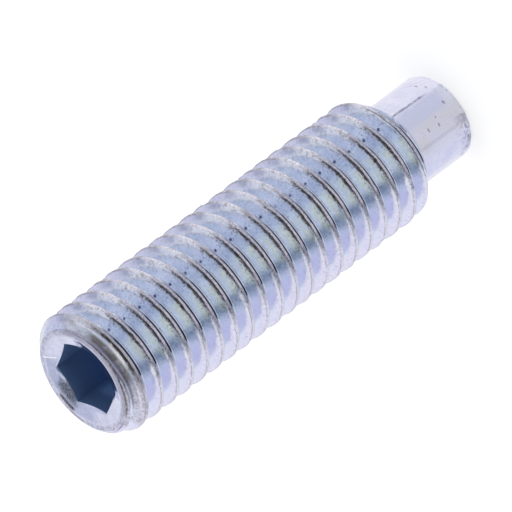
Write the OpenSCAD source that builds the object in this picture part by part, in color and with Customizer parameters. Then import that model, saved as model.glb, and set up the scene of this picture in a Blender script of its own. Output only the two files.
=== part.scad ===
// Grub set screw with a hexagon socket, a right-hand thread and a long dog point.
// It stands on the flat end of the dog, with the socket up. Sizes are in millimetres.

/* [Screw] */
// Length over all, from the end of the dog to the socket face
screw_l = 30; // [20:1:45]

/* [Thread] */
// Diameter over the crests
thread_d = 8; // [7.75:0.05:8.5]
// Distance from one crest to the next
pitch = 1.25; // [1:0.05:1.3]
// Angle between the two flanks of the groove
flank_angle = 60; // [50:1:65]
// Width of the flat on the crest
crest_w = 0.2; // [0.1:0.01:0.3]
// Width of the flat at the bottom of the groove
root_w = 0.18; // [0.1:0.01:0.25]
// Turn of the whole thread about the axis, in degrees
thread_turn = 150; // [0:1:359]

/* [Ends of the thread] */
// Diameter of the flat socket face
socket_face_d = 6.7; // [6.4:0.1:7]
// Slope of the chamfer at the socket face, measured from the axis
socket_chamfer_angle = 45; // [30:1:60]
// Diameter of the shoulder above the dog
shoulder_d = 5.9; // [5.8:0.1:6.4]
// Slope of the chamfer at the shoulder, measured from the axis
shoulder_chamfer_angle = 45; // [30:1:60]

/* [Hexagon socket] */
// Width across the flats
socket_af = 4; // [3:0.1:4.5]
// Depth of the flats below the socket face
socket_depth = 5; // [3:0.1:8]
// Step between the flats and the drilled point under them
drill_step = 0.1; // [0.05:0.05:0.5]
// Angle of the drilled point
drill_angle = 120; // [100:5:140]
// Diameter of the countersink at the socket face
countersink_d = 5.8; // [5.5:0.1:6]
// Angle of the countersink
countersink_angle = 140; // [120:5:160]

/* [Dog point] */
// Diameter of the dog
dog_d = 5.5; // [4.5:0.1:5.7]
// Length of the dog, from its end to the shoulder
dog_l = 4.3; // [3:0.1:6]
// Radius of the rounded edge at the end of the dog
dog_edge_r = 0.3; // [0.2:0.05:1]

/* [Smoothness] */
// Facets round each turn of the thread
turn_steps = 48; // [32:4:56]

/* [Hidden] */

crest_r = thread_d / 2;
thread_h = (pitch - crest_w - root_w) / 2 / tan(flank_angle / 2);
root_r = crest_r - thread_h;
flank_w = thread_h * tan(flank_angle / 2);
socket_face_r = socket_face_d / 2;
shoulder_r = shoulder_d / 2;
dog_r = dog_d / 2;
socket_corner_d = socket_af / cos(30);
drill_r = socket_af / 2 - drill_step;
countersink_r = countersink_d / 2;

// How far the dog runs up inside the threaded shank, which makes the two one body
dog_seat = 1;
// How far a cutting shape stands proud of the face that it cuts
over = 0.5;
// Facets round the plain round surfaces
round_fn = 96;

// Corners of the thread's section in one pitch, as [height, radius] from the middle of a groove.
// The first two bound the groove's flat, and the other two bound the crest's flat.
section = [
    [-root_w / 2, root_r],
    [root_w / 2, root_r],
    [root_w / 2 + flank_w, crest_r],
    [root_w / 2 + flank_w + crest_w, crest_r]
];
section_n = len(section);

// Pitches that the section repeats for, with two to spare beyond each end of the thread
spare_pitches = 2;
pitches = ceil((screw_l - dog_l) / pitch) + 2 * spare_pitches;
corner_n = pitches * section_n;

// Radius of the two end chamfers at height z
function chamfer_r(z) = min(
    shoulder_r + (z - dog_l) * tan(shoulder_chamfer_angle),
    socket_face_r + (screw_l - z) * tan(socket_chamfer_angle)
);

// Height of the groove's middle in pitch k, at angle a about the axis
function groove_z(k, a) = dog_l + pitch * (k - spare_pitches + (a - thread_turn) / 360);

// Corner j of the endless thread at angle a, as [height, radius]
function endless_corner(j, a) =
    let (at = section[j % section_n])
    [groove_z(floor(j / section_n), a) + at[0], at[1]];

// Where the flank from foot to crest meets the end chamfer, or the crest itself if it lies inside
function chamfered(crest, foot) =
    let (crest_over = crest[1] - chamfer_r(crest[0]))
    let (foot_under = chamfer_r(foot[0]) - foot[1])
    crest_over <= 0 ? crest
    : foot_under <= 0 ? [crest[0], chamfer_r(crest[0])]
    : foot + (crest - foot) * foot_under / (foot_under + crest_over);

// Corner j of the thread at angle a, with the end chamfers taken off it
function thread_corner(j, a) =
    let (at = endless_corner(j, a))
    at[1] == root_r ? [at[0], min(root_r, chamfer_r(at[0]))]
    : chamfered(at, endless_corner(j % section_n == 2 ? j - 1 : j + 1, a));

// Radius of the thread's edge on the flat face at height z, at angle a
function face_edge_r(z, a) =
    let (rise = (z - groove_z(0, a)) / pitch)
    let (off_groove = abs(rise - round(rise)) * pitch)
    let (flank_rise = max(0, off_groove - root_w / 2) / tan(flank_angle / 2))
    min(crest_r, root_r + flank_rise, chamfer_r(z));

// The thread's section at angle a, from the shoulder up to the socket face.
// Corners past an end give that end's edge point, so each section has the same number of points.
function thread_section(a) = [
    for (j = [0 : corner_n - 1])
        let (at = thread_corner(j, a))
        at[0] <= dog_l ? [dog_l, face_edge_r(dog_l, a)]
        : at[0] >= screw_l ? [screw_l, face_edge_r(screw_l, a)]
        : at
];

function step_angle(i) = 360 * i / turn_steps;
function clamp(j, low, high) = max(low, min(high, j));

// Threaded shank between the shoulder and the socket face, as one closed skin
module threaded_shank() {
    sections = [for (i = [0 : turn_steps - 1]) thread_section(step_angle(i))];
    low = [for (s = sections) max([for (j = [0 : corner_n - 1]) if (s[j][0] <= dog_l) j])];
    high = [for (s = sections) min([for (j = [0 : corner_n - 1]) if (s[j][0] >= screw_l) j])];
    skin_points = [
        for (i = [0 : turn_steps - 1])
            for (at = sections[i])
                [at[1] * cos(step_angle(i)), at[1] * sin(step_angle(i)), at[0]]
    ];
    shoulder_centre = len(skin_points);
    socket_centre = shoulder_centre + 1;

    // Number of corner j on step i. After a full turn the thread has climbed by one pitch.
    function point(i, j) = i < turn_steps
        ? i * corner_n + clamp(j, low[i], high[i])
        : clamp(j + section_n, low[0], high[0]);

    skin_faces = [
        for (i = [0 : turn_steps - 1])
            for (j = [0 : corner_n - 2])
                let (a = point(i, j), b = point(i, j + 1), c = point(i + 1, j + 1), d = point(i + 1, j))
                each [if (a != b) [a, b, c], if (c != d) [a, c, d]]
    ];
    shoulder_faces = [
        for (i = [0 : turn_steps - 1]) [shoulder_centre, point(i, 0), point(i + 1, 0)]
    ];
    socket_faces = [
        for (i = [0 : turn_steps - 1])
            [socket_centre, point(i + 1, corner_n - 1), point(i, corner_n - 1)]
    ];
    polyhedron(
        points = concat(skin_points, [[0, 0, dog_l], [0, 0, screw_l]]),
        faces = concat(skin_faces, shoulder_faces, socket_faces)
    );
}

// Plain round dog with a rounded edge at its end
module dog() {
    rotate_extrude($fn = round_fn) {
        square([dog_r - dog_edge_r, dog_edge_r]);
        translate([0, dog_edge_r])
            square([dog_r, dog_l + dog_seat - dog_edge_r]);
        intersection() {
            translate([dog_r - dog_edge_r, dog_edge_r])
                circle(r = dog_edge_r, $fn = round_fn);
            translate([dog_r - dog_edge_r, 0])
                square([dog_edge_r, dog_edge_r]);
        }
    }
}

// Space of the hexagon socket, its drilled point and its countersink
module socket_space() {
    drill_point_h = drill_r / tan(drill_angle / 2);
    countersink_h = countersink_r / tan(countersink_angle / 2);
    countersink_scale = (countersink_h + over) / countersink_h;
    translate([0, 0, screw_l - socket_depth])
        cylinder(h = socket_depth + over, d = socket_corner_d, $fn = 6);
    translate([0, 0, screw_l - socket_depth - drill_point_h])
        cylinder(h = drill_point_h + over, r1 = 0, r2 = drill_r * (drill_point_h + over) / drill_point_h,
            $fn = round_fn);
    translate([0, 0, screw_l - countersink_h])
        cylinder(h = countersink_h + over, r1 = 0, r2 = countersink_r * countersink_scale, $fn = round_fn);
}

// The screw, turned and rolled from one bar
module set_screw() {
    color("lightsteelblue")
        difference() {
            union() {
                threaded_shank();
                dog();
            }
            socket_space();
        }
}

set_screw();
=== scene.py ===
import math

import bpy
import numpy as np
from mathutils import Matrix, Vector, noise


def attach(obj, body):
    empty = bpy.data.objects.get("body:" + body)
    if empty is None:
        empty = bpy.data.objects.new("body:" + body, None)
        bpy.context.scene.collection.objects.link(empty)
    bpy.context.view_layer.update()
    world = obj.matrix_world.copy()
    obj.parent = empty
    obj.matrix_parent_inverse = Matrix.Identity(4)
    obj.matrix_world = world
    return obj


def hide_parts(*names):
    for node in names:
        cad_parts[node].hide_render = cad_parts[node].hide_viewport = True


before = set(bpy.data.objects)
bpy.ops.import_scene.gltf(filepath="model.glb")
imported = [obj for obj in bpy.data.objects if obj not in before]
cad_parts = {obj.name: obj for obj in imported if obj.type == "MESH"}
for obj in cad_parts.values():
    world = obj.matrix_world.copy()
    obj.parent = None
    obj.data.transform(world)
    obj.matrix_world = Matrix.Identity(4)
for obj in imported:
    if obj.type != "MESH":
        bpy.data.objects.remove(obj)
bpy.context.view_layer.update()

# Sizes of the screw in millimetres, the same as in the part's source
MM = 0.001
SCREW_L = 30.0
DOG_L = 4.3
DOG_R = 2.75
DOG_EDGE_R = 0.3
CREST_R = 4.0
PITCH = 1.25
CREST_W = 0.2
ROOT_W = 0.18
FLANK_DEG = 30
FLANK_W = (PITCH - CREST_W - ROOT_W) / 2
THREAD_H = FLANK_W / math.tan(math.radians(FLANK_DEG))
ROOT_R = CREST_R - THREAD_H
THREAD_TURN = 150.0
FACE_R = 3.35
SHOULDER_R = 2.95
SOCKET_AF = 4.0
SOCKET_DEPTH = 5.0
DRILL_R = 1.9
DRILL_HALF_DEG = 60
DRILL_SLOPE = math.tan(math.radians(DRILL_HALF_DEG))
MOUTH_R = 2.9
MOUTH_HALF_DEG = 70
MOUTH_SLOPE = math.tan(math.radians(90 - MOUTH_HALF_DEG))

# Fine roundings in millimetres, which the part's source leaves out.
# THREAD_ROUNDINGS has the radius and the steps for each corner of the thread, from one groove to the next.
THREAD_ROUNDINGS = ((0.06, 3), (0.02, 3), (0.1, 6), (0.05, 3))
CHAMFER_ROUNDING = 0.05
SHOULDER_FILLET_R = 0.12
# Eased rim of the socket face and edge of its mouth, as how far inwards and how far down
RIM_EASE = ((0.005, 0.02), (0.03, 0.004), (0.07, 0.0))
MOUTH_EASE = ((-0.04, 0.0), (0.0, 0.006), (0.05, 0.026))
# Eased edge of the hexagon, as how far down and how far outwards
HEXAGON_EASE = ((0.01, 0.012), (0.04, 0.0))

# Fineness of the mesh. Plain rings, END_STEP apart, make the last END_H of the thread at each end, and rows
# that follow the helix make the rest. The last ring lies RIM_H below the socket face.
COLUMNS = 120
COLUMN_DEG = 360 / COLUMNS
ANGLES = np.arange(COLUMNS) * COLUMN_DEG
END_H = 1.5
LOW_RING_Z = DOG_L + END_H
HIGH_RING_Z = SCREW_L - END_H
RIM_H = 0.05
END_STEP = 0.035
FLANK_STEP = 0.17
SPARE_TURNS = 2
SHARP_DEG = 40

# Wear that noise makes: its greatest depths in millimetres, and where the mouth's burr is, in degrees from
# the camera's side towards the lower side of the picture
NICK_DEPTH = 0.11
CREST_UNEVENNESS = 0.022
TIP_WEAR_DEPTH = 0.05
MOUTH_UNEVENNESS = 0.008
BURR_DEPTH = 0.07
BURR_DEG = -52
BURR_SPREAD_DEG = 13

# The room as the screw sees it. ROOM_H points from the screw to the camera, ROOM_S to the lower side of
# the picture.
ROOM_H = Vector((0.190, -0.982, 0.0))
ROOM_S = Vector((-0.982, -0.190, 0.0))

# Marks struck into the metal, as their middle, their reach and their depth in millimetres
THREAD_DENTS = (
    ((-2.28, -3.28, 21.62), 0.20, 0.10),
    ((-1.60, -3.67, 6.59), 0.20, 0.09),
    ((3.55, -1.85, 24.59), 0.14, 0.05),
    ((3.50, -1.94, 23.23), 0.12, 0.05),
    ((-0.29, -3.99, 29.25), 0.14, 0.07),
)
DOG_PITS = (
    ((0.12, -2.75, 2.98), 0.16, 0.04),
    ((0.06, -2.75, 2.16), 0.13, 0.03),
    ((0.54, -2.70, 2.07), 0.08, 0.02),
    ((0.95, -2.58, 0.97), 0.15, 0.035),
    ((2.40, -1.33, 1.22), 0.13, 0.025),
    ((2.13, -1.74, 0.94), 0.14, 0.025),
    ((-0.95, -2.55, 0.45), 0.22, 0.05),
    ((-1.60, -2.20, 0.40), 0.20, 0.04),
)
OTHER_DENTS = (
    ((-2.83, -1.41, 30.0), 0.10, 0.04),
    ((2.10, 3.38, 17.3), 0.22, 0.10),
    ((-3.75, 1.30, 11.2), 0.18, 0.08),
    ((1.10, 3.84, 8.7), 0.16, 0.08),
    ((-2.30, 3.26, 25.1), 0.20, 0.09),
    ((-1.30, 2.42, 1.60), 0.14, 0.03),
    ((2.66, 0.70, 2.60), 0.10, 0.03),
)


def smooth_min(a, b, k):
    """The smaller of a and b, with the corner between them rounded over a width of k."""
    h = np.clip(0.5 + 0.5 * (b - a) / k, 0, 1)
    return b * (1 - h) + a * h - k * h * (1 - h)


def fillet(before, corner, after, radius, steps):
    """Points of an arc that rounds the corner, from the side of before to the side of after."""
    before, corner, after = (np.array(p, float) for p in (before, corner, after))
    to_before = (before - corner) / np.linalg.norm(before - corner)
    to_after = (after - corner) / np.linalg.norm(after - corner)
    half_angle = math.acos(float(np.clip(to_before @ to_after, -1, 1))) / 2
    reach = radius / math.tan(half_angle)
    bisector = (to_before + to_after) / np.linalg.norm(to_before + to_after)
    centre = corner + bisector * radius / math.sin(half_angle)
    start = corner + to_before * reach - centre
    end = corner + to_after * reach - centre
    sweep = math.acos(float(np.clip(start @ end / radius ** 2, -1, 1)))
    points = []
    for i in range(steps + 1):
        t = i / steps
        weight_a = math.sin((1 - t) * sweep) / math.sin(sweep)
        weight_b = math.sin(t * sweep) / math.sin(sweep)
        points.append(centre + start * weight_a + end * weight_b)
    return points


def thread_profile():
    """One pitch of the thread as [height, radius], from the middle of one groove to the next.
    The edge of the crest towards the socket is rolled over further than the other."""
    foot = ROOT_W / 2
    top = foot + FLANK_W
    corners = [(0, ROOT_R), (foot, ROOT_R), (top, CREST_R), (top + CREST_W, CREST_R),
               (PITCH - foot, ROOT_R), (PITCH, ROOT_R)]
    points = [np.array([0.0, ROOT_R])]
    for k, (radius, steps) in enumerate(THREAD_ROUNDINGS, start=1):
        points += fillet(corners[k - 1], corners[k], corners[k + 1], radius, steps)
    points.append(np.array([PITCH, ROOT_R]))
    full = [points[0]]
    for a, b in zip(points, points[1:]):
        gap = np.linalg.norm(b - a)
        if gap < 1e-6:
            continue
        extra = int(gap / FLANK_STEP)
        full += [a + (b - a) * (i + 1) / (extra + 1) for i in range(extra)]
        full.append(b)
    return np.array(full)


PROFILE = thread_profile()


def phase_of(z, degrees):
    """Height above the middle of the groove below, for a point at that height and angle."""
    return (z - DOG_L - PITCH * (degrees - THREAD_TURN) / 360) % PITCH


def thread_radius(z, degrees):
    """Radius of the thread with its end chamfers, before wear."""
    body = np.interp(phase_of(z, degrees), PROFILE[:, 0], PROFILE[:, 1])
    end_cone = np.minimum(SHOULDER_R + (z - DOG_L), FACE_R + (SCREW_L - z))
    return smooth_min(body, end_cone, CHAMFER_ROUNDING)


def noise_at(points, scale, offset):
    """Smooth noise, about -1 to 1, at each point in millimetres."""
    shift = Vector((offset, offset * 1.7, -offset * 0.6))
    return np.array([noise.noise(Vector(p) * scale + shift) for p in points])


class Skin:
    """Collects rings and rows of points and joins them into one mesh."""

    def __init__(self):
        self.points = []
        self.faces = []
        self.last = None

    def ring(self, radii, heights):
        """Adds a ring of points and returns their numbers."""
        radii = np.broadcast_to(radii, COLUMNS)
        heights = np.broadcast_to(heights, COLUMNS)
        first = len(self.points)
        for i in range(COLUMNS):
            a = math.radians(i * COLUMN_DEG)
            self.points.append((radii[i] * math.cos(a), radii[i] * math.sin(a), heights[i]))
        return list(range(first, first + COLUMNS))

    def join(self, lower, upper):
        """Adds the faces between two rings."""
        for i in range(COLUMNS):
            k = (i + 1) % COLUMNS
            self.faces.append((lower[i], lower[k], upper[k], upper[i]))

    def next_ring(self, radii, heights):
        """Adds a ring and joins it to the last one."""
        ring = self.ring(radii, heights)
        self.join(self.last, ring)
        self.last = ring

    def cap(self, ring, height, facing_up):
        """Closes a ring with faces that meet in one point on the axis."""
        centre = len(self.points)
        self.points.append((0.0, 0.0, height))
        for i in range(COLUMNS):
            k = (i + 1) % COLUMNS
            self.faces.append((ring[i], ring[k], centre) if facing_up else (ring[k], ring[i], centre))

    def helix(self):
        """Rows that follow the thread between the two end rings. Returns those rings."""
        n = len(PROFILE) - 1
        turns = int((SCREW_L - DOG_L) / PITCH) + 2 * SPARE_TURNS
        rows = n * turns
        column_rows = []
        for i in range(COLUMNS):
            degrees = i * COLUMN_DEG
            turn = (degrees - THREAD_TURN) / 360
            z = np.array([DOG_L + PITCH * (j // n - SPARE_TURNS + turn) + PROFILE[j % n, 0]
                          for j in range(rows)])
            low = int(np.max(np.nonzero(z <= LOW_RING_Z)[0]))
            high = int(np.min(np.nonzero(z >= HIGH_RING_Z)[0]))
            z = z[low:high + 1]
            z[0] = LOW_RING_Z
            z[-1] = HIGH_RING_Z
            r = thread_radius(z, degrees)
            a = math.radians(degrees)
            first = len(self.points)
            self.points += [(r[k] * math.cos(a), r[k] * math.sin(a), z[k]) for k in range(len(z))]
            column_rows.append((low, high, first))

        def index(i, j):
            """Number of the point in row j of column i. After a full turn the thread is one pitch up."""
            if i == COLUMNS:
                i = 0
                j = j + n
            low, high, first = column_rows[i]
            return first + max(low, min(high, j)) - low

        for i in range(COLUMNS):
            low, high, _ = column_rows[i]
            next_low, next_high, _ = column_rows[(i + 1) % COLUMNS]
            climbed = n if i == COLUMNS - 1 else 0
            for j in range(min(low, next_low - climbed), max(high, next_high - climbed)):
                quad = [index(i, j), index(i + 1, j), index(i + 1, j + 1), index(i, j + 1)]
                quad = [q for k, q in enumerate(quad) if q != quad[k - 1]]
                if len(quad) >= 3:
                    self.faces.append(tuple(quad))
        low_ring = [first for low, high, first in column_rows]
        high_ring = [first + high - low for low, high, first in column_rows]
        return low_ring, high_ring


def add_dog(skin):
    """The dog: its end, its rounded edge, its wall and the small fillet under the shoulder."""
    edge_steps = 8
    wall_steps = 10
    fillet_steps = 4
    end_r = DOG_R - DOG_EDGE_R
    wall_top = DOG_L - SHOULDER_FILLET_R
    rings = [(r, 0.0) for r in (0.5, 1.0, 1.5, 2.0, end_r)]
    for i in range(1, edge_steps + 1):
        a = math.radians(90 * i / edge_steps)
        rings.append((end_r + DOG_EDGE_R * math.sin(a), DOG_EDGE_R - DOG_EDGE_R * math.cos(a)))
    for i in range(1, wall_steps + 1):
        rings.append((DOG_R, DOG_EDGE_R + (wall_top - DOG_EDGE_R) * i / wall_steps))
    for i in range(1, fillet_steps + 1):
        a = math.radians(90 * i / fillet_steps)
        r = DOG_R + SHOULDER_FILLET_R * (1 - math.cos(a))
        rings.append((r, wall_top + SHOULDER_FILLET_R * math.sin(a)))
    skin.last = skin.ring(*rings[0])
    skin.cap(skin.last, 0.0, facing_up=False)
    for r, z in rings[1:]:
        skin.next_ring(r, z)


def add_thread(skin):
    """The thread, as plain rings near its ends and as helical rows between them."""
    low_ring, high_ring = skin.helix()
    steps = int((LOW_RING_Z - DOG_L) / END_STEP)
    for i in range(steps):
        z = DOG_L + (LOW_RING_Z - DOG_L) * i / steps
        skin.next_ring(thread_radius(np.full(COLUMNS, z), ANGLES), z)
    skin.join(skin.last, low_ring)
    skin.last = high_ring
    top_z = SCREW_L - RIM_H
    steps = int((top_z - HIGH_RING_Z) / END_STEP)
    for i in range(1, steps + 1):
        z = HIGH_RING_Z + (top_z - HIGH_RING_Z) * i / steps
        skin.next_ring(thread_radius(np.full(COLUMNS, z), ANGLES), z)


def hexagon_radius(across_flats):
    """Radius of a hexagon at each column, with a corner on +X."""
    off_flat = (ANGLES % 60) - 30
    return across_flats / 2 / np.cos(np.radians(off_flat))


def add_socket(skin):
    """The socket face with its eased rim, the countersink, the hexagon and the drilled point."""
    thread_edge_r = thread_radius(np.full(COLUMNS, SCREW_L), ANGLES)
    rim = [(FACE_R - inwards, SCREW_L - down) for inwards, down in RIM_EASE]
    mouth = [(MOUTH_R - inwards, SCREW_L - down) for inwards, down in MOUTH_EASE]
    for r, z in rim + mouth:
        skin.next_ring(np.minimum(r, thread_edge_r - 0.002 + (r - rim[0][0]) * 0.2), z)

    hexagon = hexagon_radius(SOCKET_AF)
    slope_r, slope_z = mouth[-1]
    for t in (0.35, 0.7, 0.94):
        r = slope_r + (hexagon - slope_r) * t
        skin.next_ring(r, slope_z - (slope_r - r) * MOUTH_SLOPE)
    edge_z = slope_z - (slope_r - hexagon) * MOUTH_SLOPE
    for down, outwards in HEXAGON_EASE:
        skin.next_ring(hexagon + outwards, edge_z - down)

    wall_drop = HEXAGON_EASE[-1][0]
    floor_z = SCREW_L - SOCKET_DEPTH
    for t in (0.2, 0.45, 0.7, 0.9, 1.0):
        skin.next_ring(hexagon, edge_z - wall_drop + (floor_z - edge_z + wall_drop) * t)
    for t in (1.0, 0.7, 0.4, 0.15):
        r = DRILL_R * t
        skin.next_ring(r, floor_z - (DRILL_R - r) / DRILL_SLOPE)
    skin.cap(skin.last, floor_z - DRILL_R / DRILL_SLOPE, facing_up=True)


def screw_skin():
    """The whole outside of the screw, from the middle of the dog's end to the socket's floor."""
    skin = Skin()
    add_dog(skin)
    add_thread(skin)
    add_socket(skin)
    return skin


def dent_depth(points):
    """Depth of the struck marks at each point."""
    depth = np.zeros(len(points))
    for middle, reach, deep in THREAD_DENTS + DOG_PITS + OTHER_DENTS:
        away = np.linalg.norm(points - np.array(middle), axis=1)
        depth += deep * np.exp(-(away / reach) ** 2)
    return depth


def crest_wear(points, radius):
    """Depth of the nicks and the fine unevenness of the crests."""
    on_crest = np.clip((radius - 3.82) / 0.12, 0, 1)
    nicks = np.clip(noise_at(points, scale=1.5, offset=3.0) - 0.12, 0, 1) * NICK_DEPTH
    uneven = np.abs(noise_at(points, scale=5.0, offset=9.0)) * CREST_UNEVENNESS
    return on_crest * (nicks + uneven)


def tip_wear(points, radius):
    """Depth of the wear on the rounded edge of the dog."""
    on_tip = np.clip(1 - points[:, 2] / 0.6, 0, 1) * (radius > 2.3)
    return on_tip * np.clip(noise_at(points, scale=2.2, offset=5.0), 0, 1) * TIP_WEAR_DEPTH


def mouth_raggedness(points, radius):
    """How far the edge of the socket's mouth moves inwards. It is most uneven at the burr."""
    angle = np.degrees(np.arctan2(points @ np.array(ROOM_S), points @ np.array(ROOM_H)))
    at_mouth = np.exp(-((radius - MOUTH_R) / 0.08) ** 2) * (points[:, 2] > SCREW_L - 0.08)
    burr = MOUTH_UNEVENNESS + BURR_DEPTH * np.exp(-((angle - BURR_DEG) / BURR_SPREAD_DEG) ** 2)
    return at_mouth * burr * noise_at(points, scale=4.5, offset=2.0)


def worn(points):
    """The points of the skin with dents, nicked crests and a ragged socket mouth."""
    radius = np.maximum(np.hypot(points[:, 0], points[:, 1]), 1e-6)
    side = np.stack([points[:, 0] / radius, points[:, 1] / radius], axis=1)
    out = np.column_stack([side, np.zeros(len(points))])
    on_face = (points[:, 2] > SCREW_L - 0.03) & (radius < FACE_R - 0.02)
    out[on_face] = (0.0, 0.0, 1.0)
    depth = dent_depth(points)
    depth += crest_wear(points, radius)
    depth += tip_wear(points, radius)
    moved = points - out * depth[:, None]
    moved[:, :2] -= side * mouth_raggedness(points, radius)[:, None]
    return moved


def build_screw():
    skin = screw_skin()
    points = worn(np.array(skin.points))
    mesh = bpy.data.meshes.new("set_screw_finish")
    mesh.from_pydata([tuple(p) for p in points * MM], [], skin.faces)
    mesh.validate()
    mesh.shade_smooth()
    mesh.set_sharp_from_angle(angle=math.radians(SHARP_DEG))
    piece = bpy.data.objects.new("set_screw_finish", mesh)
    bpy.context.scene.collection.objects.link(piece)
    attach(piece, "root")
    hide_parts("set_screw")
    return piece


class Graph:
    """Short calls for building a material's nodes."""

    def __init__(self, tree):
        self.tree = tree

    def node(self, kind, **settings):
        made = self.tree.nodes.new(kind)
        for name, value in settings.items():
            setattr(made, name, value)
        return made

    def feed(self, socket, value):
        """Links a socket to another one, or sets it to a plain value."""
        if isinstance(value, bpy.types.NodeSocket):
            self.tree.links.new(value, socket)
        else:
            socket.default_value = value

    def math(self, operation, a, b=0.0):
        made = self.node("ShaderNodeMath", operation=operation)
        self.feed(made.inputs[0], a)
        self.feed(made.inputs[1], b)
        return made.outputs[0]

    def chain(self, operation, values):
        result = values[0]
        for value in values[1:]:
            result = self.math(operation, result, value)
        return result

    def add(self, *values):
        return self.chain("ADD", values)

    def mul(self, *values):
        return self.chain("MULTIPLY", values)

    def most(self, *values):
        return self.chain("MAXIMUM", values)

    def sub(self, a, b):
        return self.math("SUBTRACT", a, b)

    def absolute(self, value):
        return self.math("ABSOLUTE", value)

    def step(self, value, low, high, to_low=0.0, to_high=1.0):
        """Goes smoothly from to_low to to_high while value goes from low to high. Low may be above high."""
        made = self.node("ShaderNodeMapRange", interpolation_type="SMOOTHSTEP")
        self.feed(made.inputs["Value"], value)
        self.feed(made.inputs["From Min"], low)
        self.feed(made.inputs["From Max"], high)
        self.feed(made.inputs["To Min"], to_low)
        self.feed(made.inputs["To Max"], to_high)
        return made.outputs["Result"]

    def band(self, value, low, high, soft):
        """1 between low and high, falling to 0 over soft outside them."""
        return self.mul(self.step(value, low - soft, low), self.step(value, high, high + soft, 1.0, 0.0))

    def blend(self, factor, a, b):
        """The colour a where factor is 0, and b where it is 1."""
        made = self.node("ShaderNodeMix", data_type="RGBA")
        self.feed(made.inputs["Factor"], factor)
        self.feed(made.inputs["A"], a)
        self.feed(made.inputs["B"], b)
        return made.outputs["Result"]

    def noise(self, where, scale, detail=2.0, roughness=0.5):
        """Noise round 0.5, with scale features in each unit of where."""
        made = self.node("ShaderNodeTexNoise")
        self.feed(made.inputs["Vector"], where)
        made.inputs["Scale"].default_value = scale
        made.inputs["Detail"].default_value = detail
        made.inputs["Roughness"].default_value = roughness
        return made.outputs["Fac"]

    def dots(self, where, scale, size):
        """1 in small scattered spots of uneven size."""
        made = self.node("ShaderNodeTexVoronoi")
        self.feed(made.inputs["Vector"], where)
        made.inputs["Scale"].default_value = scale
        pick = self.node("ShaderNodeSeparateXYZ")
        self.feed(pick.inputs[0], made.outputs["Color"])
        reach = self.mul(pick.outputs[0], size)
        return self.step(self.sub(made.outputs["Distance"], reach), 0.03, -0.03)

    def vector(self, x, y, z):
        made = self.node("ShaderNodeCombineXYZ")
        for socket, value in zip(made.inputs, (x, y, z)):
            self.feed(socket, value)
        return made.outputs[0]

    def toward(self, direction, aim):
        """Cosine of the angle between a direction and aim."""
        made = self.node("ShaderNodeVectorMath", operation="DOT_PRODUCT")
        self.feed(made.inputs[0], direction)
        made.inputs[1].default_value = aim.normalized()
        return made.outputs["Value"]


def rgb(r, g, b):
    """A display colour, 0 to 255, as a linear colour."""
    def linear(v):
        v = v / 255
        return v / 12.92 if v <= 0.04045 else ((v + 0.055) / 1.055) ** 2.4
    return (linear(r), linear(g), linear(b), 1.0)


class Place:
    """Where a point is on the screw, as sockets.

    Lengths are in millimetres.
    phase is the height above the middle of the groove below: the flank that looks to the dog is from 0.09
    to 0.525, the crest from there to 0.725, and the flank that looks to the socket from there to 1.16.
    from_groove is the height above or below the middle of the nearest groove, from -0.625 to 0.625.
    front is 1 on the side that faces the photo's camera, and -1 behind.
    lower is 1 at the outline on the lower side of the photo, and -1 at the one on its upper side.
    """

    def __init__(self, g):
        coords = g.node("ShaderNodeTexCoord")
        in_mm = g.node("ShaderNodeVectorMath", operation="SCALE")
        g.feed(in_mm.inputs[0], coords.outputs["Object"])
        in_mm.inputs["Scale"].default_value = 1 / MM
        self.mm = in_mm.outputs[0]
        split = g.node("ShaderNodeSeparateXYZ")
        g.feed(split.inputs[0], self.mm)
        self.x, self.y, self.z = split.outputs
        self.radius = g.math("SQRT", g.add(g.mul(self.x, self.x), g.mul(self.y, self.y)))
        turn = g.mul(g.math("ARCTAN2", self.y, self.x), 1 / (2 * math.pi))
        rise = g.sub(g.math("DIVIDE", g.sub(self.z, DOG_L), PITCH), g.sub(turn, THREAD_TURN / 360))
        self.phase = g.mul(g.math("FRACT", rise), PITCH)
        self.from_groove = g.mul(g.sub(g.math("FRACT", g.add(rise, 0.5)), 0.5), PITCH)
        self.front = self.round_part(g, ROOM_H)
        self.lower = self.round_part(g, ROOM_S)

        # Clouds, mottling, grain and pits that the layers share
        self.wide = g.noise(self.mm, 1.1, 3.0)
        self.medium = g.noise(self.mm, 4.5, 4.0, 0.65)
        self.fine = g.noise(self.mm, 12.0, 3.0, 0.6)
        self.pits = g.mul(g.dots(self.mm, 2.6, 0.13), g.step(self.wide, 0.4, 0.55, 0.2, 0.85))

        # The thread, its side that faces the camera, and the patches of wear on its other side
        self.off_dog = g.step(self.radius, 3.1, 3.18)
        self.on_thread = g.mul(g.step(self.z, DOG_L + 0.3, DOG_L + 0.6), self.off_dog)
        self.facing = g.step(self.front, 0.3, 0.6)
        patches = g.noise(g.vector(self.x, self.y, g.mul(self.z, 0.7)), 0.4, 2.0)
        self.elsewhere = g.mul(g.step(patches, 0.46, 0.66, 0.0, 0.85), g.step(self.front, -0.05, -0.3))

        # lower, shifted a little from turn to turn, so that the wear doesn't end in one straight line
        per_turn = g.mul(g.sub(g.noise(g.vector(0.0, 0.0, self.z), 1.3, 2.0), 0.5), 0.5)
        self.along = g.add(self.lower, per_turn)

    def round_part(self, g, aim):
        """Cosine of the angle round the axis between a point and the direction aim."""
        return g.math("DIVIDE", g.add(g.mul(self.x, aim.x), g.mul(self.y, aim.y)), self.radius)


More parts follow.
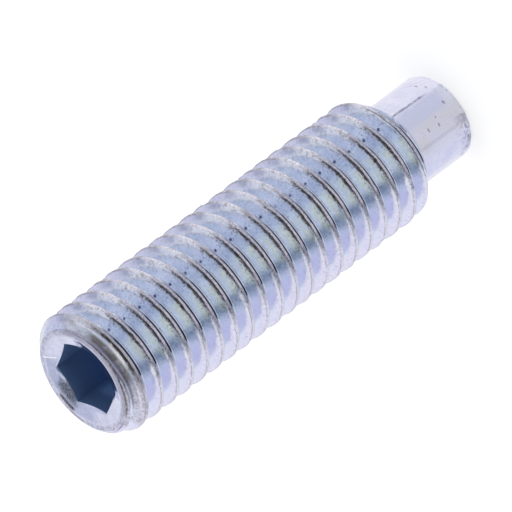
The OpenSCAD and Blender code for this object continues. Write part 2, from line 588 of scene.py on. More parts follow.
def spot(g, at, middle, reach, flat=1.0):
    """1 within reach of a point, given in millimetres, with a ragged edge. It is flat times shorter in z."""
    offset = g.node("ShaderNodeVectorMath", operation="SUBTRACT")
    g.feed(offset.inputs[0], at.mm)
    offset.inputs[1].default_value = middle
    scaled = g.node("ShaderNodeVectorMath", operation="MULTIPLY")
    g.feed(scaled.inputs[0], offset.outputs[0])
    scaled.inputs[1].default_value = (1.0, 1.0, flat)
    away = g.node("ShaderNodeVectorMath", operation="LENGTH")
    g.feed(away.inputs[0], scaled.outputs[0])
    ragged = g.add(away.outputs["Value"], g.mul(g.sub(at.medium, 0.5), reach * 1.6))
    return g.step(ragged, reach, reach * 0.6)


# Zinc plate
PLATE = rgb(210, 218, 238)
PLATE_PALE = rgb(222, 229, 245)
PLATE_GREY = rgb(186, 194, 214)
PLATE_LIGHT = rgb(232, 236, 248)
PLATE_GRAIN = rgb(150, 154, 172)
PLATE_PIT = rgb(104, 108, 130)


def plated_ground(g, at):
    """Zinc plate with soft clouds, fine mottling and tiny dark pits."""
    colour = g.blend(g.step(at.wide, 0.36, 0.64), PLATE, PLATE_PALE)
    colour = g.blend(g.step(at.medium, 0.5, 0.36, 0.0, 0.5), colour, PLATE_GREY)
    colour = g.blend(g.step(at.medium, 0.56, 0.68, 0.0, 0.5), colour, PLATE_LIGHT)
    colour = g.blend(g.step(at.fine, 0.57, 0.66, 0.0, 0.55), colour, PLATE_GRAIN)
    return g.blend(at.pits, colour, PLATE_PIT)


# Flanks of the thread
GREEN_TINT = rgb(222, 227, 206)
GREEN_PEPPER = rgb(156, 164, 166)
SPECK_BLUE = rgb(50, 60, 104)
# Painted reflections on the flanks: the cool sheen in front, the lavender of the lower side and the sheen
# low in front
NEAR_FLANK_SHEEN = rgb(230, 240, 247)
LOWER_SIDE_REFLECTION = rgb(214, 212, 243)
LOWER_SIDE_REFLECTION_PALE = rgb(219, 224, 247)
LOW_FLANK_SHEEN = rgb(224, 232, 248)
OUTER_LIGHT = rgb(232, 228, 243)
OUTER_DARK = rgb(160, 154, 164)
UPPER_SHADE = rgb(156, 165, 188)
SMUDGE = rgb(142, 134, 138)


def green_patches(g, at, colour):
    """Greenish, peppered patches on the flank that looks to the socket."""
    in_front = g.mul(g.band(at.along, 0.0, 0.3, 0.15), at.facing)
    where = g.most(in_front, g.mul(at.elsewhere, 0.8))
    uneven = g.step(at.wide, 0.36, 0.54, 0.45, 1.0)
    tint = g.mul(g.band(at.phase, 0.8, 0.98, 0.07), uneven, where, at.on_thread)
    colour = g.blend(g.mul(tint, 0.9), colour, GREEN_TINT)
    pepper = g.step(g.noise(at.mm, 9.0, 4.0, 0.7), 0.53, 0.6, 0.0, 0.6)
    return g.blend(g.mul(tint, pepper), colour, GREEN_PEPPER)


def blue_specks(g, at, colour):
    """A row of dark blue specks along the thread, one in each turn, with dust beside it."""
    speck_h = g.mul(g.add(at.from_groove, 0.135), 18.0)
    speck_s = g.mul(g.add(at.lower, 0.42), 40.0)
    speck = g.add(g.mul(speck_h, speck_h), g.mul(speck_s, speck_s))
    speck = g.add(speck, g.mul(g.sub(at.fine, 0.5), 3.0))
    in_turn = g.step(g.noise(g.vector(0.0, 0.0, at.z), 2.3), 0.38, 0.5, 0.35, 1.0)
    speck = g.mul(at.facing, in_turn, g.step(speck, 1.1, 0.7))
    dust = g.mul(g.band(at.lower, -0.46, -0.38, 0.02), g.band(at.from_groove, -0.42, -0.12, 0.05))
    dust = g.mul(dust, at.facing, g.step(g.noise(at.mm, 9.0, 2.0), 0.55, 0.62, 0.0, 0.5))
    speck = g.mul(g.most(speck, dust), at.on_thread)
    return g.blend(g.mul(speck, 0.9), colour, SPECK_BLUE)


def painted_flank_sheen(g, at, colour):
    """Painted reflections: the cool sheen of the flanks in front and the pale lavender of the lower side."""
    thread_front = g.mul(at.facing, at.on_thread)
    near_flank = g.mul(thread_front, g.band(at.lower, -0.1, 0.28, 0.14), g.step(at.z, 28.9, 28.7))
    colour = g.blend(g.mul(near_flank, 0.25), colour, NEAR_FLANK_SHEEN)
    lower_side = g.mul(g.step(at.lower, 0.5, 0.75), at.on_thread)
    lower_reflection = g.blend(g.step(at.phase, 0.86, 1.02), LOWER_SIDE_REFLECTION, LOWER_SIDE_REFLECTION_PALE)
    colour = g.blend(g.mul(lower_side, g.step(at.front, -0.3, 0.0, 0.35, 0.75)), colour, lower_reflection)
    low_flank = g.mul(thread_front, g.band(at.lower, 0.48, 0.7, 0.1))
    return g.blend(g.mul(low_flank, 0.35), colour, LOW_FLANK_SHEEN)


def outer_mottle(g, at, colour):
    """Rough light and dark spots on the outer part of the flank, away from the middle of the view."""
    off_middle = g.step(g.absolute(at.lower), 0.35, 0.6, 0.15, 1.0)
    outer = g.mul(g.band(at.phase, 0.7, 0.9, 0.07), off_middle, at.on_thread)
    spots = g.noise(at.mm, 5.0, 5.0, 0.7)
    colour = g.blend(g.mul(outer, g.step(spots, 0.46, 0.62, 0.1, 0.65)), colour, OUTER_LIGHT)
    return g.blend(g.mul(outer, g.step(spots, 0.42, 0.32, 0.0, 0.5)), colour, OUTER_DARK)


def upper_shade(g, at, colour):
    """Soft grey patches just behind each crest, near the upper outline."""
    blurred = g.add(at.lower, g.mul(g.sub(at.medium, 0.5), 0.12))
    shade = g.mul(g.band(blurred, -0.92, -0.89, 0.08), g.band(at.phase, 0.72, 0.84, 0.16))
    shade = g.mul(shade, at.on_thread, g.step(at.wide, 0.34, 0.56, 0.4, 0.8))
    return g.blend(shade, colour, UPPER_SHADE)


def smudges(g, at, colour):
    """Grey-brown smudges on and beside the crests, between the middle and the upper outline."""
    smudge = g.mul(g.band(at.lower, -0.8, -0.44, 0.06), g.band(at.phase, 0.62, 0.84, 0.05))
    smudge = g.mul(smudge, g.step(g.noise(at.mm, 2.6, 5.0, 0.75), 0.5, 0.62), at.on_thread)
    return g.blend(g.mul(smudge, 0.6), colour, SMUDGE)


# Crests of the thread
CREST_MIDDLE = rgb(202, 201, 219)
CREST_SIDE = rgb(222, 222, 240)
CREST_MIDDLE_DIM = rgb(166, 163, 180)
CREST_SIDE_DIM = rgb(204, 204, 222)
CREST_FLECK = rgb(128, 114, 112)
CREST_TOP_LINE = rgb(142, 139, 150)
CREST_GLINT = rgb(244, 241, 250)
CREST_EDGE_LINE = rgb(150, 140, 150)


def worn_crests(g, at, colour):
    """Rubbed crests with flecks, and painted highlights: brighter towards the two outlines, with glints near
    the upper one.
    A thin dark line runs along their edge on the lower side. Returns the colour and the mask of the crests."""
    crest = g.mul(g.step(at.radius, 3.9, 3.95), at.on_thread)
    off_middle = g.step(g.absolute(at.lower), 0.42, 0.75)
    # Painted highlight: the crests are brighter towards the two outlines than in the middle
    bright = g.blend(off_middle, CREST_MIDDLE, CREST_SIDE)
    dim = g.blend(off_middle, CREST_MIDDLE_DIM, CREST_SIDE_DIM)
    worn_crest = g.blend(g.step(at.fine, 0.4, 0.58), dim, bright)
    flecks = g.mul(g.step(g.noise(at.mm, 8.0, 3.0), 0.58, 0.66), g.step(off_middle, 0.0, 1.0, 0.65, 0.3))
    worn_crest = g.blend(flecks, worn_crest, CREST_FLECK)
    colour = g.blend(crest, colour, worn_crest)
    top_line = g.mul(crest, g.step(at.lower, -0.84, -0.92), g.step(at.medium, 0.4, 0.55, 0.3, 0.75))
    colour = g.blend(top_line, colour, CREST_TOP_LINE)
    # Painted highlight: glints on the crests near the upper outline
    glint = g.mul(crest, g.band(at.lower, -0.8, -0.62, 0.06), g.step(at.fine, 0.48, 0.56, 0.0, 0.85))
    colour = g.blend(glint, colour, CREST_GLINT)
    edge_line = g.mul(g.band(at.phase, 0.712, 0.745, 0.01), g.band(at.lower, 0.45, 0.95, 0.06))
    edge_line = g.mul(edge_line, g.step(at.medium, 0.42, 0.52), at.on_thread)
    return g.blend(g.mul(edge_line, 0.6), colour, CREST_EDGE_LINE), crest


# Dirt, painted shadow and painted dark reflection in the grooves
GRIME_AND_REFLECTION_DARK = rgb(66, 63, 63)
GRIME_AND_REFLECTION_PALE = rgb(108, 101, 100)
GRIME_SPILT = rgb(104, 102, 106)
LAST_TURN_LINE = rgb(74, 76, 92)
ROOT_SHADE_THIN = rgb(84, 90, 126)
ROOT_SHADE_DEEP = rgb(20, 26, 50)
CREST_UNDERSIDE_SHADE = rgb(96, 94, 124)


def grime_and_reflection_bands(g, at, colour):
    """A broken, ragged brown band under the upper edge of each crest, partly grime and partly a painted dark
    reflection, strongest on the side that faces the camera, with grime spots spilt above it. The last turn
    at the shoulder has only a thin dark line. Returns the colour and the mask of the band."""
    last_turn = g.mul(g.step(at.z, 5.95, 5.85), at.facing)
    ragged = g.mul(g.sub(g.noise(at.mm, 5.0, 5.0, 0.7), 0.5), 0.18)
    shifted = g.sub(g.add(at.phase, ragged), g.step(at.z, 6.0, 5.85, 0.0, 0.085))
    upper_edge = g.step(at.along, 0.08, 0.32, 0.79, 0.73)
    upper_edge = g.sub(upper_edge, g.step(at.z, 6.0, 5.85, 0.0, 0.05))
    lower_edge = g.step(at.along, 0.0, -0.35, 0.0, 0.03)
    above_lower = g.step(g.sub(shifted, lower_edge), 0.672, 0.69)
    below_upper = g.step(g.sub(shifted, upper_edge), -0.01, 0.045, 1.0, 0.0)
    # Strongest on the side that faces the camera, where the band is partly a painted dark reflection
    amount = g.most(g.mul(g.band(at.along, -0.46, 0.42, 0.08), at.facing), at.elsewhere)
    amount = g.mul(amount, g.sub(1.0, g.mul(last_turn, 0.9)))
    ends = g.add(g.step(at.along, 0.0, 0.35, 0.0, 0.1), g.step(at.along, -0.26, -0.48, 0.0, 0.14))
    broken = g.step(g.sub(at.fine, ends), 0.34, 0.47, 0.25, 1.0)
    grime_and_reflection = g.mul(g.mul(above_lower, below_upper), amount, at.on_thread, broken)
    brown = g.blend(g.step(at.medium, 0.4, 0.6), GRIME_AND_REFLECTION_DARK, GRIME_AND_REFLECTION_PALE)
    colour = g.blend(grime_and_reflection, colour, brown)
    spilt = g.mul(g.band(at.phase, 0.76, 0.88, 0.05), g.band(at.along, -0.42, 0.36, 0.1), at.facing)
    spilt = g.mul(spilt, at.on_thread, g.step(g.noise(at.mm, 7.0, 4.0, 0.7), 0.55, 0.62))
    colour = g.blend(g.mul(spilt, 0.6), colour, GRIME_SPILT)
    last_line = g.mul(last_turn, g.band(at.phase, 0.725, 0.745, 0.012), g.band(at.lower, -0.6, 0.45, 0.12))
    return g.blend(g.mul(last_line, at.on_thread, 0.8), colour, LAST_TURN_LINE), grime_and_reflection


def groove_roots(g, at, colour):
    """Dark root of each groove, partly dirt and partly painted shade, as wide as it is seen from the front,
    and widest in a crescent of painted shadow under each crest. The flank that looks to the dog has a dim
    line of painted shade just under the crest."""
    # Painted shadow: the crescent in the root under each crest, widest in front
    crescent = g.mul(g.step(at.lower, -0.42, 0.05), g.step(at.lower, 0.42, 0.56, 1.0, 0.0), at.facing)
    off = g.sub(at.lower, 0.09)
    start = g.sub(0.002, g.add(g.mul(off, off, 0.27), g.mul(crescent, 0.04)))
    depth = g.sub(at.from_groove, start)
    root = g.mul(g.step(depth, -0.032, 0.028), g.step(at.from_groove, 0.15, 0.12),
                 g.step(at.radius, ROOT_R + 0.1, ROOT_R + 0.06))
    in_front = g.mul(at.facing, g.step(at.lower, 0.4, 0.56, 0.75, 0.4), g.band(at.lower, -0.45, 0.66, 0.16))
    where = g.most(in_front, g.mul(at.elsewhere, 0.7), g.step(crescent, 0.0, 0.3))
    above_shoulder = g.mul(g.step(at.z, DOG_L + 0.2, DOG_L + 0.3), at.off_dog)
    root = g.mul(root, where, above_shoulder)
    dark = g.blend(g.step(crescent, 0.0, 0.5), ROOT_SHADE_THIN, ROOT_SHADE_DEEP)
    colour = g.blend(g.mul(root, 0.97), colour, dark)
    # Painted shade: a dim line just under each crest
    under = g.mul(at.on_thread, g.step(at.fine, 0.35, 0.5, 0.6, 1.0), g.band(at.phase, 0.49, 0.53, 0.01))
    return g.blend(g.mul(under, 0.75), colour, CREST_UNDERSIDE_SHADE)


def thread_layers(g, at, colour):
    """The colours of the thread, and where it is dull."""
    colour = green_patches(g, at, colour)
    colour = blue_specks(g, at, colour)
    colour = painted_flank_sheen(g, at, colour)
    colour = outer_mottle(g, at, colour)
    colour = upper_shade(g, at, colour)
    colour, crest = worn_crests(g, at, colour)
    colour = smudges(g, at, colour)
    colour, grime_and_reflection = grime_and_reflection_bands(g, at, colour)
    colour = groove_roots(g, at, colour)
    return colour, g.most(grime_and_reflection, g.mul(crest, 0.35))


# The dog
DOG = rgb(222, 222, 244)
DOG_PALE = rgb(231, 231, 250)
DOG_GREY = rgb(200, 200, 222)
DOG_GRAIN = rgb(176, 176, 196)
DOG_BEIGE_RUB_AND_REFLECTION = rgb(220, 217, 227)
DOG_COOL_REFLECTION = rgb(202, 205, 236)
DOG_SCRATCH = rgb(132, 132, 162)
DOG_PIT = rgb(124, 120, 136)
DOG_TIP = rgb(170, 168, 182)
DOG_STREAK = rgb(176, 174, 190)


def dog_layers(g, at, colour):
    """Bright dog with a scratch along it, small pits, a worn tip, a rubbed beige patch with painted
    reflection and a painted cool reflection. Also returns where it is dull.
    """
    on_dog = g.step(at.z, DOG_L + 0.02, DOG_L - 0.02)
    facing = g.step(at.front, 0.2, 0.5)
    ground = g.blend(g.step(at.wide, 0.36, 0.64), DOG, DOG_PALE)
    ground = g.blend(g.step(at.medium, 0.5, 0.36, 0.0, 0.35), ground, DOG_GREY)
    ground = g.blend(g.step(at.fine, 0.6, 0.72, 0.0, 0.45), ground, DOG_GRAIN)
    # Partly rub and partly painted reflection: a duller beige patch on the side that faces the camera
    beige_rub_and_reflection = g.mul(facing, g.step(at.wide, 0.3, 0.6), g.band(at.lower, 0.05, 0.35, 0.4))
    ground = g.blend(g.mul(beige_rub_and_reflection, 0.7), ground, DOG_BEIGE_RUB_AND_REFLECTION)
    # Painted reflection: a cooler, darker band on the side that faces the camera
    cool_reflection = g.mul(facing, g.step(at.z, 0.5, 1.2), g.band(at.lower, -0.42, -0.15, 0.15))
    ground = g.blend(g.mul(cool_reflection, 0.5), ground, DOG_COOL_REFLECTION)

    # Lines along the dog, which wander a little
    drift = g.add(at.lower, g.mul(at.z, 0.01), g.mul(g.sub(at.medium, 0.5), 0.06))
    scratch = g.mul(g.band(drift, -0.517, -0.493, 0.024), g.band(at.z, 2.0, 3.95, 0.9), facing)
    scratch = g.mul(scratch, g.step(at.medium, 0.38, 0.52, 0.35, 1.0))
    ground = g.blend(g.mul(scratch, 0.8), ground, DOG_SCRATCH)
    for middle, reach, _ in DOG_PITS:
        ground = g.blend(g.mul(spot(g, at, middle, reach * 1.1, 2.0), 0.65), ground, DOG_PIT)

    scuff = g.mul(g.step(at.z, 1.5, 0.3), g.step(at.front, -0.1, 0.2), g.band(at.lower, 0.2, 0.95, 0.1))
    scuff = g.mul(scuff, g.step(g.noise(at.mm, 3.2, 5.0, 0.75), 0.46, 0.56))
    rub = g.mul(g.step(at.z, 0.4, 0.12), g.step(at.medium, 0.48, 0.6, 0.0, 0.8))
    tip = g.most(scuff, rub)
    ground = g.blend(g.mul(tip, 0.7), ground, DOG_TIP)
    streak = g.mul(g.band(at.z, 0.8, 3.9, 0.6), facing, g.band(drift, 0.41, 0.44, 0.04))
    ground = g.blend(g.mul(streak, 0.28), ground, DOG_STREAK)
    return g.blend(on_dog, colour, ground), g.mul(on_dog, g.most(tip, g.mul(beige_rub_and_reflection, 0.5)))


# First groove beside the socket face, and the chamfer
FIRST_GROOVE_Z = 29.0
FIRST_HAZE = rgb(158, 155, 163)
FIRST_DIRT_DARK = rgb(84, 79, 74)
FIRST_DIRT_PALE = rgb(138, 133, 130)
FIRST_EDGE_DIRT_AND_REFLECTION = rgb(76, 70, 68)
FIRST_GLINT = rgb(232, 228, 242)
CHAMFER_SCUFF = rgb(160, 156, 168)
CHAMFER_SCUFF_DARK = rgb(112, 102, 100)
ORANGE_GLINT = rgb(255, 216, 140)
ORANGE_GLINT_PLACE = (1.34, -3.68, 29.37)
RIM_LINE = rgb(104, 98, 92)


def first_groove(g, at, near, colour):
    """Brown-grey dirt in the first groove, on the near side, with a painted highlight along the edge under
    it, a dark line by the crest that is partly dirt and partly painted dark reflection, a small painted
    orange glint, and the scuffed chamfer. Returns the colour and the mask of the dirt."""
    first = g.mul(g.step(at.radius, 3.18, 3.24), near, g.step(at.z, FIRST_GROOVE_Z, FIRST_GROOVE_Z + 0.1))
    smear = g.noise(g.vector(at.x, at.y, g.mul(at.z, 3.0)), 1.6, 5.0, 0.7)
    haze = g.mul(first, g.band(at.lower, -0.85, 0.75, 0.15), g.step(smear, 0.3, 0.6, 0.75, 0.25))
    colour = g.blend(haze, colour, FIRST_HAZE)
    dirt = g.mul(g.band(at.from_groove, -0.27, 0.08, 0.09), g.band(at.lower, -0.42, 0.36, 0.2))
    dirt = g.mul(dirt, first, g.step(smear, 0.34, 0.56, 0.25, 1.0))
    dirt_colour = g.blend(g.step(smear, 0.42, 0.6), FIRST_DIRT_DARK, FIRST_DIRT_PALE)
    colour = g.blend(dirt, colour, dirt_colour)
    # Partly dirt and partly painted dark reflection, as in the bands under the other crests
    edge_dirt_and_reflection = g.mul(g.band(at.from_groove, -0.53, -0.46, 0.035), g.band(at.lower, -0.34, 0.44, 0.08))
    edge_dirt_and_reflection = g.mul(edge_dirt_and_reflection, first, g.step(at.medium, 0.4, 0.52, 0.3, 1.0))
    colour = g.blend(edge_dirt_and_reflection, colour, FIRST_EDGE_DIRT_AND_REFLECTION)

    scuffed = g.mul(g.step(at.lower, 0.15, 0.4), g.step(at.front, 0.0, 0.2), g.step(at.z, 28.7, 28.9))
    scuffed = g.mul(scuffed, g.step(at.radius, 3.3, 3.36))
    scuffs = g.noise(at.mm, 4.0, 6.0, 0.75)
    colour = g.blend(g.mul(scuffed, g.step(scuffs, 0.46, 0.58, 0.15, 0.75)), colour, CHAMFER_SCUFF)
    colour = g.blend(g.mul(scuffed, g.step(scuffs, 0.44, 0.36, 0.0, 0.6)), colour, CHAMFER_SCUFF_DARK)

    # Painted highlight along the edge under the dirt
    glint = g.mul(g.band(at.from_groove, -0.4, -0.35, 0.02), g.band(at.lower, -0.7, 0.8, 0.1))
    glint = g.mul(glint, first, g.step(at.medium, 0.36, 0.46))
    colour = g.blend(g.mul(glint, 0.6), colour, FIRST_GLINT)
    # Painted highlight: a small orange-white glint
    colour = g.blend(spot(g, at, ORANGE_GLINT_PLACE, 0.13, 2.4), colour, ORANGE_GLINT)
    rim_side = g.mul(g.band(at.lower, -0.6, 0.85, 0.1), g.step(at.front, 0.1, 0.4))
    at_rim = g.step(at.z, SCREW_L - 0.12, SCREW_L - 0.08)
    rim_line = g.mul(g.band(at.radius, 3.3, 3.4, 0.03), at_rim, rim_side)
    return g.blend(g.mul(rim_line, g.step(at.medium, 0.4, 0.52, 0.3, 0.9)), colour, RIM_LINE), dirt


# The flat socket face and the countersink
FACE = rgb(202, 204, 228)
FACE_PALE = rgb(212, 214, 238)
FACE_GREY = rgb(182, 184, 206)
FACE_GRAIN = rgb(150, 148, 164)
FACE_RIM = rgb(160, 160, 182)
FACE_SLATE = rgb(84, 90, 102)
FACE_BROWN = rgb(86, 80, 76)
FACE_LOW_LINE = rgb(120, 116, 126)
FACE_SCORE_HIGHLIGHT = rgb(255, 250, 250)
FACE_RIM_WEAR = rgb(160, 156, 168)


def socket_face(g, at, near):
    """Mottled face with a grey and a brown patch on its far side and a score line whose highlight is painted
    in near-white.
    Returns the colour and where it is dull."""
    far = g.step(at.front, -0.4, -0.75)
    pale = g.blend(g.step(at.wide, 0.36, 0.62), FACE, FACE_PALE)
    pale = g.blend(g.step(at.medium, 0.5, 0.38, 0.0, 0.35), pale, FACE_GREY)
    pale = g.blend(g.step(at.fine, 0.6, 0.72, 0.0, 0.5), pale, FACE_GRAIN)
    wander = g.mul(g.sub(g.noise(at.mm, 1.8, 4.0, 0.65), 0.5), 0.7)
    flat_rim = g.step(g.add(at.radius, g.mul(wander, 0.4)), 2.84, 3.1)
    flat_rim = g.mul(flat_rim, g.add(g.mul(near, 0.6), g.step(at.medium, 0.42, 0.6, 0.55, 0.2)))
    pale = g.blend(flat_rim, pale, FACE_RIM)

    grain = g.step(at.fine, 0.4, 0.6, 1.0, 0.7)
    slate_side = g.mul(far, g.band(g.add(at.lower, wander), -0.2, 0.18, 0.3))
    slate = g.mul(g.step(g.add(at.radius, wander), 2.95, 2.5), slate_side)
    pale = g.blend(g.mul(slate, grain), pale, FACE_SLATE)
    small_wander = g.mul(wander, 0.3)
    brown = g.band(g.add(at.radius, small_wander), 2.84, 3.0, 0.06)
    brown = g.mul(brown, far, g.band(g.add(at.lower, small_wander), -0.02, 0.3, 0.09))
    pale = g.blend(g.mul(brown, grain), pale, FACE_BROWN)

    low_line = g.mul(g.band(at.radius, 3.16, 3.24, 0.03), g.band(at.lower, 0.3, 0.55, 0.08))
    low_line = g.mul(low_line, g.step(at.front, -0.5, -0.7))
    pale = g.blend(g.mul(low_line, 0.6), pale, FACE_LOW_LINE)
    # A score line, with its highlight painted in as near-white
    across_score = g.add(g.mul(at.x, 0.90), g.mul(at.y, -0.43))
    score = g.mul(g.band(across_score, 0.80, 0.86, 0.03), g.band(at.y, 1.62, 2.3, 0.1))
    pale = g.blend(g.mul(score, 0.9), pale, FACE_SCORE_HIGHLIGHT)
    rim_wear = g.mul(g.step(at.radius, 2.95, 3.2), g.step(at.medium, 0.5, 0.42, 0.0, 0.6))
    return g.blend(rim_wear, pale, FACE_RIM_WEAR), g.most(slate, brown)


# Walls of the hexagon
WALL_DEEP = rgb(108, 142, 190)
WALL_TOP = rgb(74, 102, 144)
WALL_PAINTED_LIGHT = rgb(140, 176, 226)


def hexagon_walls(g, at):
    """Dark blue walls with a soft painted patch of light low on one side. Returns the colour and the mask of
    the socket.
    """
    cos_30 = math.cos(math.radians(30))
    side_a = g.absolute(g.add(g.mul(at.x, cos_30), g.mul(at.y, 0.5)))
    side_b = g.absolute(g.sub(g.mul(at.x, cos_30), g.mul(at.y, 0.5)))
    from_axis = g.most(side_a, side_b, g.absolute(at.y))
    wall = SOCKET_AF / 2
    below_edge = g.step(at.z, SCREW_L - 0.16, SCREW_L - 0.2)
    inside = g.mul(g.step(from_axis, wall + 0.03, wall + 0.01), below_edge)
    walls = g.blend(g.step(at.z, SCREW_L - 2.8, SCREW_L - 0.4), WALL_DEEP, WALL_TOP)
    painted_light = g.mul(g.step(at.z, SCREW_L - 1.3, SCREW_L - 1.9), g.step(at.lower, 0.35, 0.6))
    return g.blend(g.mul(painted_light, 0.7), walls, WALL_PAINTED_LIGHT), inside


def socket_layers(g, at, colour):
    """The end with the socket. Also returns where it is dull, and the masks of the hexagon and its mouth."""
    near = g.step(at.front, 0.2, 0.6)
    colour, dirt = first_groove(g, at, near, colour)
    top = g.mul(g.step(at.z, SCREW_L - 0.5, SCREW_L - 0.4), g.step(at.radius, 3.34, 3.3))
    face, face_dull = socket_face(g, at, near)
    colour = g.blend(top, colour, face)
    walls, inside = hexagon_walls(g, at)
    colour = g.blend(inside, colour, walls)
    mouth = g.mul(top, g.step(at.radius, MOUTH_R + 0.05, MOUTH_R), g.step(inside, 0.1, 0.0))
    return colour, g.most(dirt, g.mul(top, face_dull)), inside, mouth


def zinc_material():
    material = bpy.data.materials.new("zinc_plated_steel_worn")
    material.use_nodes = True
    tree = material.node_tree
    tree.nodes.clear()
    g = Graph(tree)
    out = g.node("ShaderNodeOutputMaterial")
    shader = g.node("ShaderNodeBsdfPrincipled")
    g.feed(out.inputs["Surface"], shader.outputs[0])
    at = Place(g)
    colour = plated_ground(g, at)
    colour, thread_dull = thread_layers(g, at, colour)
    colour, dog_dull = dog_layers(g, at, colour)
    colour, socket_dull, inside, mouth = socket_layers(g, at, colour)
    g.feed(shader.inputs["Base Color"], colour)

    # Bright metal outside. The socket's walls are a dull blue-black, and its mouth is the smoothest part.
    g.feed(shader.inputs["Metallic"], g.sub(1.0, g.mul(inside, 0.9)))
    dull = g.most(thread_dull, dog_dull, socket_dull)
    rough = g.add(g.step(at.medium, 0.35, 0.65, 0.14, 0.26), g.mul(dull, 0.3))
    rough = g.most(g.mul(rough, g.sub(1.0, g.mul(mouth, 0.75))), g.mul(inside, 0.5))
    g.feed(shader.inputs["Roughness"], rough)
    bump = g.node("ShaderNodeBump")
    g.feed(bump.inputs["Strength"], g.mul(g.sub(1.0, mouth), 0.3))
    bump.inputs["Distance"].default_value = 0.02 * MM
    g.feed(bump.inputs["Height"], g.add(g.mul(at.fine, 0.6), at.medium))
    g.feed(shader.inputs["Normal"], bump.outputs[0])
    return material


# What the metal mirrors: the walls, the ceiling and the paper on the floor, as linear colours
WHITE = (1.0, 1.0, 1.0, 1)
SIDE_WALL = (0.72, 0.76, 0.82, 1)
UPPER_WALL = (0.86, 0.88, 0.88, 1)
UPPER_WALL_BACK = (0.78, 0.765, 0.87, 1)
CEILING_GREY = (0.5, 0.58, 0.66, 1)
CEILING_DARK = (0.2, 0.26, 0.34, 1)
CAMERA_DARK = (0.1, 0.1, 0.11, 1)
PAPER_NEAR = (0.82, 0.84, 0.85, 1)
PAPER_NEAR_SIDE = (0.86, 0.88, 0.94, 1)
PAPER_GREY = (0.8, 0.84, 0.88, 1)
PAPER_DARK = (0.33, 0.385, 0.44, 1)

# The room's dark spot lies this far above level for each length towards the camera
DARK_RISE = 0.84
# Half the floor's width, the end of the ring that the dog mirrors and the start of what the thread mirrors,
# in metres, and how much wider the ring's sectors get for each metre away from the dog
FLOOR_HALF = 0.6
DOG_RING_END = 0.0105
THREAD_RING_START = 0.0125
SECTOR_SPREAD = 114


def studio_world():
    """Soft white room with a few grey panels, which the bright metal mirrors."""
    world = bpy.data.worlds.new("studio")
    world.use_nodes = True
    bpy.context.scene.world = world
    tree = world.node_tree
    tree.nodes.clear()
    g = Graph(tree)
    out = g.node("ShaderNodeOutputWorld")
    background = g.node("ShaderNodeBackground")
    g.feed(out.inputs["Surface"], background.outputs[0])
    rays = g.node("ShaderNodeLightPath")
    direction = g.node("ShaderNodeTexCoord").outputs["Generated"]
    side = g.toward(direction, ROOM_S)
    height = g.toward(direction, Vector((0, 0, 1)))
    back = g.toward(direction, -ROOM_H)
    front = g.toward(direction, ROOM_H + Vector((0, 0, DARK_RISE)))

    colour = g.blend(g.step(side, 0.44, 0.54), SIDE_WALL, WHITE)
    colour = g.blend(g.step(back, 0.5, 0.7), colour, WHITE)
    upper_side = g.blend(g.step(back, 0.3, 0.55), UPPER_WALL, UPPER_WALL_BACK)
    colour = g.blend(g.step(side, -0.36, -0.5), colour, upper_side)
    overhead = g.mul(g.step(height, 0.55, 0.7), g.step(back, 0.36, 0.28))
    colour = g.blend(g.mul(overhead, g.band(side, -0.01, 0.23, 0.06)), colour, WHITE)
    colour = g.blend(g.mul(overhead, g.band(side, -0.2, -0.12, 0.07)), colour, CEILING_GREY)
    colour = g.blend(g.mul(overhead, g.band(side, 0.33, 0.41, 0.06)), colour, CEILING_DARK)
    colour = g.blend(g.step(front, 0.84, 0.93), colour, CAMERA_DARK)
    seen = g.blend(rays.outputs["Is Camera Ray"], colour, WHITE)
    g.feed(background.inputs["Color"], seen)
    background.inputs["Strength"].default_value = 1.0


def mirrored_paper(g):
    """White paper with soft shaded sectors round the screw's foot, as the metal mirrors it.
    The dog mirrors the ring next to it, and the thread mirrors what lies further out."""
    coords = g.node("ShaderNodeTexCoord")
    split = g.node("ShaderNodeSeparateXYZ")
    g.feed(split.inputs[0], coords.outputs["Object"])
    x, y = split.outputs["X"], split.outputs["Y"]
    along_h = g.add(g.mul(x, ROOM_H.x), g.mul(y, ROOM_H.y))
    along_s = g.add(g.mul(x, ROOM_S.x), g.mul(y, ROOM_S.y))
    away = g.math("SQRT", g.add(g.mul(x, x), g.mul(y, y)))
    sector = g.mul(g.math("ARCTAN2", along_s, along_h), 180 / math.pi)

    # The sectors next to the dog narrow towards it, as its mirror picture does
    spread = g.add(g.mul(g.most(g.sub(away, DOG_R * MM), 0.0), SECTOR_SPREAD), 1.0)
    facet = g.math("DIVIDE", sector, spread)
    near_foot = g.blend(g.band(facet, -33, 30, 2), WHITE, PAPER_NEAR)
    near_foot = g.blend(g.band(facet, 36, 75, 6), near_foot, PAPER_NEAR_SIDE)
    further_out = g.blend(g.band(sector, -34, -20, 14), WHITE, PAPER_GREY)
    further_out = g.blend(g.band(sector, 46, 56, 14), further_out, PAPER_DARK)
    return g.blend(g.step(away, DOG_RING_END, THREAD_RING_START), near_foot, further_out)


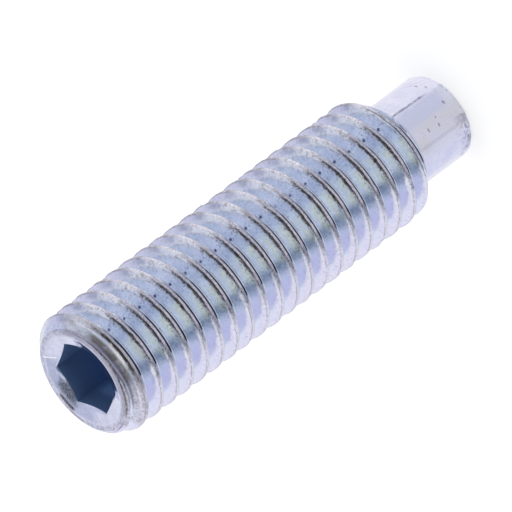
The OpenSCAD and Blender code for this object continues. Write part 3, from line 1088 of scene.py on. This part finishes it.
def white_floor():
    """White floor that shows only a faint shadow, and that the metal mirrors as shaded paper."""
    half = FLOOR_HALF
    mesh = bpy.data.meshes.new("floor")
    corners = [(-half, -half, 0), (half, -half, 0), (half, half, 0), (-half, half, 0)]
    mesh.from_pydata(corners, [], [(0, 1, 2, 3)])
    floor = bpy.data.objects.new("floor", mesh)
    bpy.context.scene.collection.objects.link(floor)
    material = bpy.data.materials.new("floor_white")
    material.use_nodes = True
    g = Graph(material.node_tree)
    shader = material.node_tree.nodes["Principled BSDF"]
    shader.inputs["Base Color"].default_value = (0.9, 0.9, 0.9, 1)
    shader.inputs["Roughness"].default_value = 0.9
    shader.inputs["Specular IOR Level"].default_value = 0.0
    shader.inputs["Emission Color"].default_value = (1, 0.985, 0.955, 1)
    rays = g.node("ShaderNodeLightPath")
    seen = g.most(rays.outputs["Is Camera Ray"], rays.outputs["Is Transmission Ray"])
    g.feed(shader.inputs["Emission Strength"], g.mul(seen, 0.45))
    mirrored = g.node("ShaderNodeEmission")
    g.feed(mirrored.inputs["Color"], mirrored_paper(g))
    both = g.node("ShaderNodeMixShader")
    g.feed(both.inputs[0], rays.outputs["Is Glossy Ray"])
    g.feed(both.inputs[1], shader.outputs[0])
    g.feed(both.inputs[2], mirrored.outputs[0])
    g.feed(material.node_tree.nodes["Material Output"].inputs["Surface"], both.outputs[0])
    mesh.materials.append(material)


# The camera as fitted to the photograph: its place in metres, its axes and its lens in millimetres
CAMERA_PLACE = Vector((0.063221, -0.327779, 0.225325))
CAMERA_RIGHT = Vector((-0.50711, -0.53169, -0.67834))
CAMERA_UP = Vector((0.84672, -0.16036, -0.5073))
SENSOR_WIDTH = 36.0
FOCAL_LENGTH = 484.69


def photo_camera():
    place = CAMERA_PLACE
    back = CAMERA_RIGHT.cross(CAMERA_UP).normalized()
    right = CAMERA_UP.cross(back).normalized()
    up = back.cross(right)
    data = bpy.data.cameras.new("camera")
    data.sensor_width = SENSOR_WIDTH
    data.lens = FOCAL_LENGTH
    data.clip_start = 0.01
    data.clip_end = 10.0
    camera = bpy.data.objects.new("camera", data)
    camera.matrix_world = Matrix((
        (right.x, up.x, back.x, place.x),
        (right.y, up.y, back.y, place.y),
        (right.z, up.z, back.z, place.z),
        (0, 0, 0, 1),
    ))
    bpy.context.scene.collection.objects.link(camera)
    bpy.context.scene.camera = camera


screw = build_screw()
screw.data.materials.append(zinc_material())
studio_world()
white_floor()
photo_camera()
bpy.context.scene.view_settings.view_transform = "Standard"
